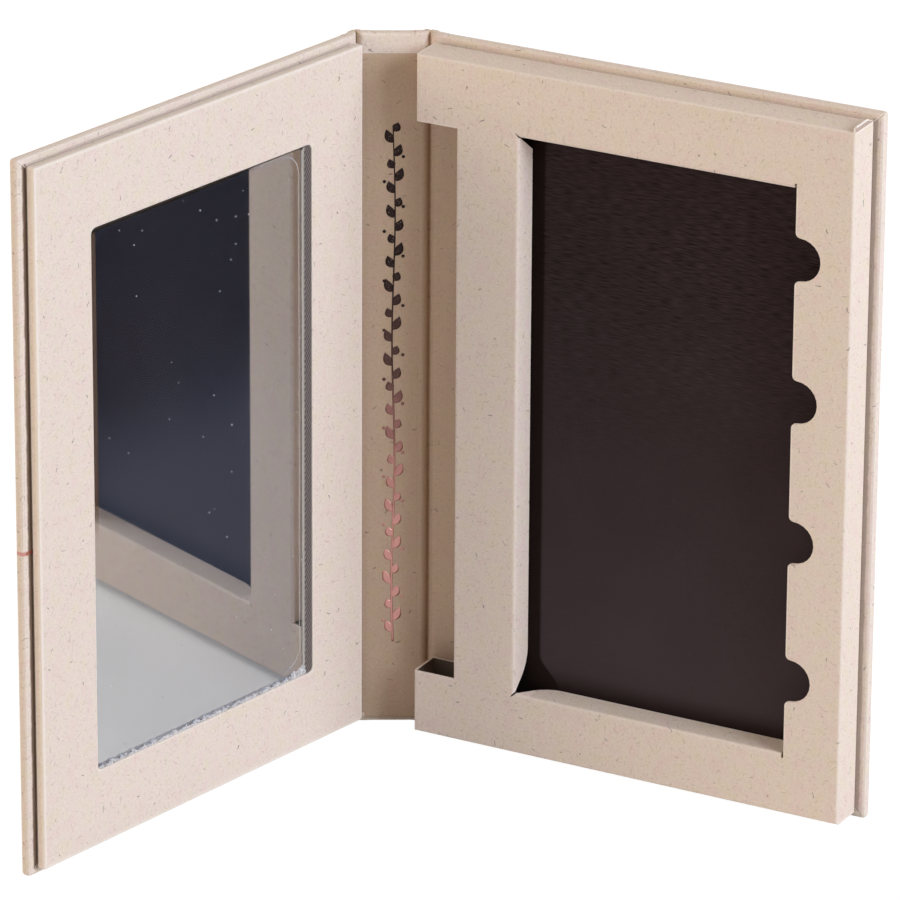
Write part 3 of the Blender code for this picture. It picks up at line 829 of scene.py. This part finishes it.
def foil_material():
    """Stamped foil: rose at the foot of the spine, turning black-brown towards its head, slightly
    worn where the paper's fibres stand up."""
    material, shader, place = leaf_material("stamped_foil", "spine")
    _, _, z = parts(place)
    level = (noise(place, 0.12) * 14.0 + z) / (COVER_HEIGHT / MM)
    colour = ramp(level, (0.34, (0.66, 0.33, 0.30, 1)), (0.48, (0.36, 0.17, 0.16, 1)),
                  (0.56, (0.10, 0.05, 0.045, 1)), (0.72, (0.020, 0.010, 0.010, 1)))
    # Wear only here: the foil is rubbed where the paper's fibres stand up
    wear_and_painted_sheen = step_down(noise(place, 4.0, 3.0), 0.30, 0.36)
    connect(shader, {"Base Color": blend_colour(wear_and_painted_sheen * 0.6, colour, LINER_TONE),
                     "Metallic": wear_and_painted_sheen * -0.5 + 0.75, "Roughness": wear_and_painted_sheen * 0.4 + 0.30})
    return material


def foil_sprig():
    """A stamped leaf sprig up the spine: a stem that sways as a sine, pairs of leaves, and a berry
    between each two pairs. A leaf's middle line leaves the stem at an angle and bends towards the
    top, and its half width is a sine of the share of its length, drawn out at the tip."""
    middle, foot, head, level = 0.0074, 0.0180, 0.1305, 0.002305
    pairs, leaf_rows, leaf_columns, stem_rows, berry_sides = 21, 11, 5, 150, 12
    leaf_length, leaf_half, stem_half = 0.0037, 0.00088, 0.00024
    berry_radius, berry_off, second_leaf = 0.00036, 0.0019, 0.0025
    sway_by, sway_over, foot_bare, head_bare = 0.00028, 0.0085, 0.002, 0.004

    def sway(z):
        return sway_by * np.sin((z - foot) / sway_over)

    base = np.linspace(foot + foot_bare, head - head_bare, pairs)
    side = np.tile([1.0, -1.0], pairs)[:, None, None]
    z0 = np.repeat(base, 2)[:, None, None] + np.where(side > 0, 0.0, second_leaf)
    t = np.linspace(0.0, 1.0, leaf_rows)[None, :, None]
    v = np.linspace(-1.0, 1.0, leaf_columns)[None, None, :]
    length = leaf_length * (0.82 + 0.18 * np.sin(np.arange(2 * pairs) * 2.1))[:, None, None]
    lean = math.radians(38.0) - math.radians(26.0) * t
    along_s = length * np.cumsum(np.sin(lean) * np.ones_like(z0), axis=1) / leaf_rows
    along_z = length * np.cumsum(np.cos(lean) * np.ones_like(z0), axis=1) / leaf_rows
    half = leaf_half * np.sin(math.pi * t ** 0.85)
    leaves = leaf_points("spine", middle + sway(z0) + side * (along_s + half * v * np.cos(lean)),
                         level + 0.00001 * (1 - v ** 2), z0 + along_z - half * v * np.sin(lean))

    stem_z = np.linspace(foot, head, stem_rows)[:, None]
    half = stem_half * (1.0 - 0.5 * (stem_z - foot) / (head - foot))
    stem = leaf_points("spine", middle + sway(stem_z) + half * np.array([[-1.0, 0.0, 1.0]]),
                       level + 0.000004, stem_z)

    around = np.linspace(0.0, 2 * math.pi, berry_sides, endpoint=False)[None, None, :]
    ring = np.array([0.05, 1.0])[None, :, None] * berry_radius
    turn = np.where(np.arange(pairs - 1) % 2 == 0, 1.0, -1.0)[:, None, None]
    berry_z = (base[:-1] + base[1:])[:, None, None] / 2
    berries = leaf_points("spine", middle + turn * berry_off + ring * np.cos(around), level,
                          berry_z + ring * np.sin(around))

    # Every leaf, the stem and every berry is a grid of its own, one after the other
    quads, offset = [], 0
    for count, rows, columns, closed in ((2 * pairs, leaf_rows, leaf_columns, False),
                                         (1, stem_rows, 3, False),
                                         (pairs - 1, 2, berry_sides, True)):
        for _ in range(count):
            quads.append(grid_quads(rows, columns, closed) + offset)
            offset += rows * columns
    points = np.concatenate([part.reshape(-1, 3) for part in (leaves, stem, berries)])
    piece = make_piece("spine_foil_sprig", points,
                       faced_inward("spine", points, np.concatenate(quads)),
                       [foil_material()], "spine")
    thicken(piece, "foil", 0.00003, 0.0)


spine_liner_sheet()
foil_sprig()


# ---- Film on the mirror ----


def film_material():
    """Clear protective film: nearly nothing over the mirror but a haze that thickens downwards, its
    blue a painted sheen, a bright creased line inside its border, a dark hatched strip with a pale
    rim on the hinge side, a pale one along the bottom with dark nicks, a painted brown reflection
    along the free side, a painted shadow under the top edge, and some dust."""
    material, shader, place = leaf_material("clear_protective_film", "front_cover")
    x, _, z = parts(place)
    u = x * -1.0
    flat = vector(u, z)
    rough = noise(flat, 1.6, 3.0, True) - 0.5

    # Hatching on the hinge side, and nicks along the bottom that come and go
    hatch_slant, hatch_pitch = 1.75, 1.2
    fine = maths("SINE", (u * hatch_slant + z) * (2.0 * math.pi / hatch_pitch) + rough * 2.5)
    hatch = fine * noise(flat, 0.3, flat=True) + 0.5
    torn = maths("FRACT", (z * -TEAR_SLANT + u) / TEAR_PITCH + rough)
    nicks = largest((0.45 - torn) * 2.2, 0.0) * step_down(noise(flat, 0.11, 1.0, True), 0.62, 0.42)
    side_edge = rough * 0.15 + u
    side_strip = step_down(side_edge, 20.05, 20.20)
    side_rim = step_down(side_edge, 20.40, 20.50) * (1.0 - side_strip)
    foot_edge = rough * 0.9 + torn * 0.55 + (z - step_down(u, 19.0, 27.0) * 1.1)
    foot_strip = step_down(foot_edge, 18.45, 18.75) * (1.0 - side_strip)
    nick = nicks * step_down(foot_edge, 17.95, 18.45)

    # The creased line: a rounded rectangle inside the border, which fades away from the hinge
    middle, half_u, half_z, radius = (51.5, 75.2, 0.0), 30.2, 55.3, 4.5
    away = vectors("ABSOLUTE", vectors("SUBTRACT", flat, middle))
    away = vectors("SUBTRACT", away, (half_u - radius, half_z - radius, 0.0))
    away = vectors("MAXIMUM", away, (0.0, 0.0, 0.0))
    ring = results("ShaderNodeVectorMath", {0: away}, operation="LENGTH")["Value"]
    crease = (step_down(maths("ABSOLUTE", ring - radius), 0.03, 0.14)
              * (step_down(u, 22.5, 27.0) * 0.85 + 0.15))

    specks = use_group(dust, {"Vector": flat, "Cell": 4.2, "Size": 0.115, "Share": 0.26})["Mask"]
    # Painted sheen: the haze's blue, thicker towards the foot
    haze_and_painted_sheen = step_down(noise(flat, 0.05, flat=True) * 16.0 + z, 80.0, 112.0)
    # Painted reflection: a brown band along the free side
    painted_side_reflection = step_up(u, 81.0, 81.25) * step_up(z, 66.0, 76.0)
    # Painted shadow: a near-black band under the frame's top edge
    painted_head_shadow = step_up(rough * 0.5 + z, 130.3, 131.0) * step_up(u, 30.0, 52.0)

    colour = blend_colour(haze_and_painted_sheen, (0.10, 0.45, 0.95, 1), (0.46, 0.64, 1.0, 1))
    dark_strip = blend_colour(hatch, (0.050, 0.038, 0.040, 1), (0.250, 0.215, 0.212, 1))
    pale_strip = blend_colour(nick, (0.82, 0.81, 0.83, 1), (0.12, 0.12, 0.12, 1))
    for share, tone in (
            (step_down(u, 22.0, 24.0), (0.80, 0.74, 0.68, 1)),
            (largest(maths("MULTIPLY", specks, 6.0, clamp=True), crease), (0.80, 0.79, 0.79, 1)),
            (side_strip, dark_strip),
            (foot_strip, pale_strip),
            (maths("MULTIPLY", painted_side_reflection, 8.0, clamp=True), (0.19, 0.12, 0.085, 1)),
            (maths("MULTIPLY", painted_head_shadow, 8.0, clamp=True), (0.012, 0.008, 0.006, 1))):
        colour = blend_colour(share, colour, tone)
    ragged = maths("MULTIPLY_ADD", rough, 1.3, 0.58, clamp=True)
    alpha = largest(haze_and_painted_sheen * 0.013 + 0.006, side_strip * 0.93, side_rim * 0.45, painted_side_reflection * 0.20,
                    painted_head_shadow * 0.80, foot_strip * ragged, nick * 0.9, crease * 0.34, specks * 0.8)
    height = fine * side_strip * 0.3 + torn * foot_strip
    connect(shader, {"Base Color": colour, "Alpha": alpha, "Roughness": 0.3,
                     "Normal": bumped(height, 0.5, 0.0002)})
    return material


def mirror_film():
    """The film: a thin level sheet with rounded corners that waves by a hundredth of a millimetre.
    Its border rises towards the frame's face, in a hatched strip on the hinge side and torn ridges
    along the bottom."""
    u_low, u_high, z_low, z_high, level = 0.0182, 0.0828, 0.0177, 0.1315, 0.00388
    side_end, foot_end, radius, rim_width = 0.0204, 0.0189, 0.0011, 0.0006
    side_rise, foot_rise, rim_rise, tear_rise = 0.00056, 0.00048, 0.00042, 0.00009
    # Rows and columns lie closer together in the border than over the mirror
    u = np.concatenate([np.arange(u_low, 0.0212, 0.00022),
                        np.arange(0.0214, u_high - 0.0012, 0.0008),
                        np.linspace(u_high - 0.0012, u_high, 7)])[:, None]
    z = np.concatenate([np.arange(z_low, 0.0204, 0.00026),
                        np.arange(0.0208, z_high - 0.0016, 0.0012),
                        np.linspace(z_high - 0.0014, z_high, 8)])[None, :]
    # Rounded corners: a row is drawn in by what a quarter circle takes at its end
    near_end = np.minimum(z - z_low, z_high - z)
    drawn_in = radius - np.sqrt(radius ** 2 - np.clip(radius - near_end, 0.0, radius) ** 2)
    centre = (u_low + u_high) / 2
    u_shaped = centre + (u - centre) / (u_high - centre) * (u_high - centre - drawn_in)
    torn = np.mod((u - TEAR_SLANT * z) / MM / TEAR_PITCH, 1.0)
    foot = ease((foot_end - z) / 0.0008)
    side = ease((side_end - u) / 0.0004)
    rim = np.maximum(*(ease((place - end) / rim_width + 1.0)
                       for place, end in ((u, u_high), (z, z_high))))
    rise = np.maximum(np.maximum(foot_rise * foot, side_rise * side), rim_rise * rim)
    w = level + 0.00001 * waves(31, u, z, 0.025) + rise + tear_rise * torn * foot * (1 - side)
    points = leaf_points("front_cover", u_shaped, w, z)
    film = make_piece("mirror_protective_film", points,
                      faced_inward("front_cover", points, grid_quads(u.size, z.size)),
                      [film_material()], "front_cover")
    thicken(film, "film", 0.00004, -1.0)
    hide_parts("mirror_film")


mirror_film()


# ---- Lip at the tray's corner ----


def lip_material():
    """Raw card: pale where it was cut, and brown with painted shade on its side."""
    paper = Paper("raw_card_lip", "back_cover", CARD_TONE, 730.0)
    cut = results("ShaderNodeAttribute", {}, paper.place.tree, attribute_name="cut")["Fac"]
    # Painted shade: the whole lip is darkened, except where it was cut
    paper.retone(1.0, (0.62, 0.56, 0.53, 1), "MULTIPLY")
    paper.retone(cut, PALE_TONE)
    return paper.material


def tray_corner_lip():
    """The raw end of the tray's side wall, which stands a millimetre over its top wall.

    A card of the tray's thickness follows a path in u and z: straight up, and then round an arc
    outwards. Its top is level over the front two thirds and falls almost to the wall behind.
    """
    half, straight, bend, steps = 0.00022, 0.0008, 0.0009, 13
    low_rise, more_rise, foot_u, foot_z = 0.0005, 0.0010, 0.09858, PANEL_Z[1] - 0.0004
    back_w, front_w, rise_from, rise_over = 0.0029, 0.01045, 0.0028, 0.0030
    w = np.append(np.linspace(back_w, front_w, 30), [0.01052, 0.01058])[:, None]
    rise = low_rise + more_rise * ease((w - rise_from) / rise_over)
    run = rise * np.linspace(0.0, 1.0, steps)[None, :]
    past = np.clip(run - straight, 0.0, None) / bend
    path = np.stack([foot_u + bend * (1.0 - np.cos(past)),
                     foot_z + np.minimum(run, straight) + bend * np.sin(past)])
    out = np.stack([np.cos(past), -np.sin(past)])
    # The tip is rounded: it runs on along the path by a quarter of the card's thickness
    tip = np.linspace(0.0, math.pi, 6)[1:-1][None, :]
    ahead = np.stack([-out[1, :, -1:], out[0, :, -1:]])
    tip_path = path[:, :, -1:] + half * (np.cos(tip) * out[:, :, -1:] + 0.5 * np.sin(tip) * ahead)
    u, z = np.concatenate([path + half * out, tip_path, (path - half * out)[:, :, ::-1]], axis=2)
    rows, columns = u.shape
    first, last = end_faces(rows, columns)
    lip = make_piece("tray_corner_lip", leaf_points("back_cover", u, w, z),
                     grid_quads(rows, columns, closed=True), [lip_material()], "back_cover",
                     extra=[first[::-1], last])
    # Cut are the tip, from the paths' last points on, and the front end
    cut = np.zeros((rows, columns))
    cut[:, steps - 1:1 - steps] = 1.0
    cut[-2:] = 1.0
    point_values(lip, "cut", cut)


tray_corner_lip()


# ---- Camera, light and floor ----


def place_in_scene(name, data, right, up, back, place):
    """A camera or a lamp at a place, turned so that it looks away from its back."""
    thing = bpy.data.objects.new(name, data)
    bpy.context.scene.collection.objects.link(thing)
    pose = np.eye(4)
    pose[:3] = np.stack([right, up, back, place], axis=1)
    thing.matrix_world = Matrix(pose.tolist())
    return thing


def make_camera():
    """The photograph's viewpoint."""
    yaw, pitch, roll = -0.49289, -0.38123, 0.00577
    ahead = np.array([math.sin(yaw) * math.cos(pitch), math.cos(yaw) * math.cos(pitch),
                      math.sin(pitch)])
    level = np.array([math.cos(yaw), -math.sin(yaw), 0.0])
    upright = np.cross(level, ahead)
    right = math.cos(roll) * level + math.sin(roll) * upright
    up = -math.sin(roll) * level + math.cos(roll) * upright
    data = bpy.data.cameras.new("camera")
    data.sensor_width, data.lens, data.clip_start = 36.0, 297.45, 0.05
    bpy.context.scene.camera = place_in_scene(
        "camera", data, right, up, -ahead, (0.619831, -1.237993, 0.624222))


def make_softbox(name, place, size, watts, tone):
    """A large softbox that faces the palette."""
    lamp = bpy.data.lights.new(name, "AREA")
    lamp.shape = "RECTANGLE"
    lamp.size, lamp.size_y = size
    lamp.energy, lamp.color = watts, tone
    palette = np.array([-0.02, -0.04, 0.075])
    away = (place - palette) / np.linalg.norm(place - palette)
    side = np.cross([0.0, 0.0, 1.0], away)
    side = side / np.linalg.norm(side)
    place_in_scene(name, lamp, side, np.cross(away, side), away, place)


def make_world():
    """A warm dome of light that looks white to the camera, in reflections and through film."""
    world = bpy.data.worlds.new("studio")
    bpy.context.scene.world = world
    world.use_nodes = True
    tree = world.node_tree
    tree.nodes.clear()
    rays = results("ShaderNodeLightPath", {}, tree)
    seen = maths("ADD", rays["Is Camera Ray"] + rays["Is Glossy Ray"],
                 rays["Is Transmission Ray"], clamp=True)
    dome, white = (result("ShaderNodeBackground", {"Color": tone, "Strength": 1.0}, tree)
                   for tone in ((0.200, 0.175, 0.147, 1), (1.0, 1.0, 1.0, 1)))
    mixed = result("ShaderNodeMixShader", {0: seen, 1: dome, 2: white})
    node("ShaderNodeOutputWorld", {"Surface": mixed})


def make_floor():
    """A pale floor that reads white to the camera and keeps the palette's soft shadow."""
    material, shader = new_material("studio_floor")
    connect(shader, {"Base Color": (0.90, 0.885, 0.865, 1), "Roughness": 0.9})
    tree = material.node_tree
    rays = results("ShaderNodeLightPath", {}, tree)
    seen = maths("ADD", rays["Is Camera Ray"], rays["Is Transmission Ray"], clamp=True)
    share = maths("ADD", seen * 0.90, rays["Is Glossy Ray"] * 0.20, clamp=True)
    lift = result("ShaderNodeEmission", {"Color": (1.0, 1.0, 1.0, 1), "Strength": 1.09}, tree)
    mixed = result("ShaderNodeMixShader", {0: share, 1: Value(shader.outputs[0]), 2: lift})
    connect(tree.nodes["Material Output"], {"Surface": mixed})
    half_width, level, count = 3.0, -0.00005, 9
    x = np.linspace(-half_width, half_width, count)
    points = np.stack([*np.meshgrid(x, x, indexing="ij"), np.full((count, count), level)], axis=-1)
    floor = make_piece("studio_floor", points, grid_quads(count, count), [material])


make_camera()
make_world()
make_softbox("key_softbox", (1.29, -0.205, 0.71), (0.8, 0.8), 16.0, (0.91, 0.965, 1.06))
make_softbox("front_softbox", (-0.93, -1.12, 0.55), (0.7, 0.6), 8.2, (1.0, 0.85, 0.67))
make_softbox("back_softbox", (-0.55, 1.35, 0.60), (0.9, 0.9), 7.0, (1.0, 0.94, 0.86))
make_softbox("top_softbox", (-0.10, -0.12, 1.40), (1.2, 1.2), 2.0, (1.0, 0.82, 0.62))
make_floor()

bpy.context.scene.view_settings.view_transform = "Standard"
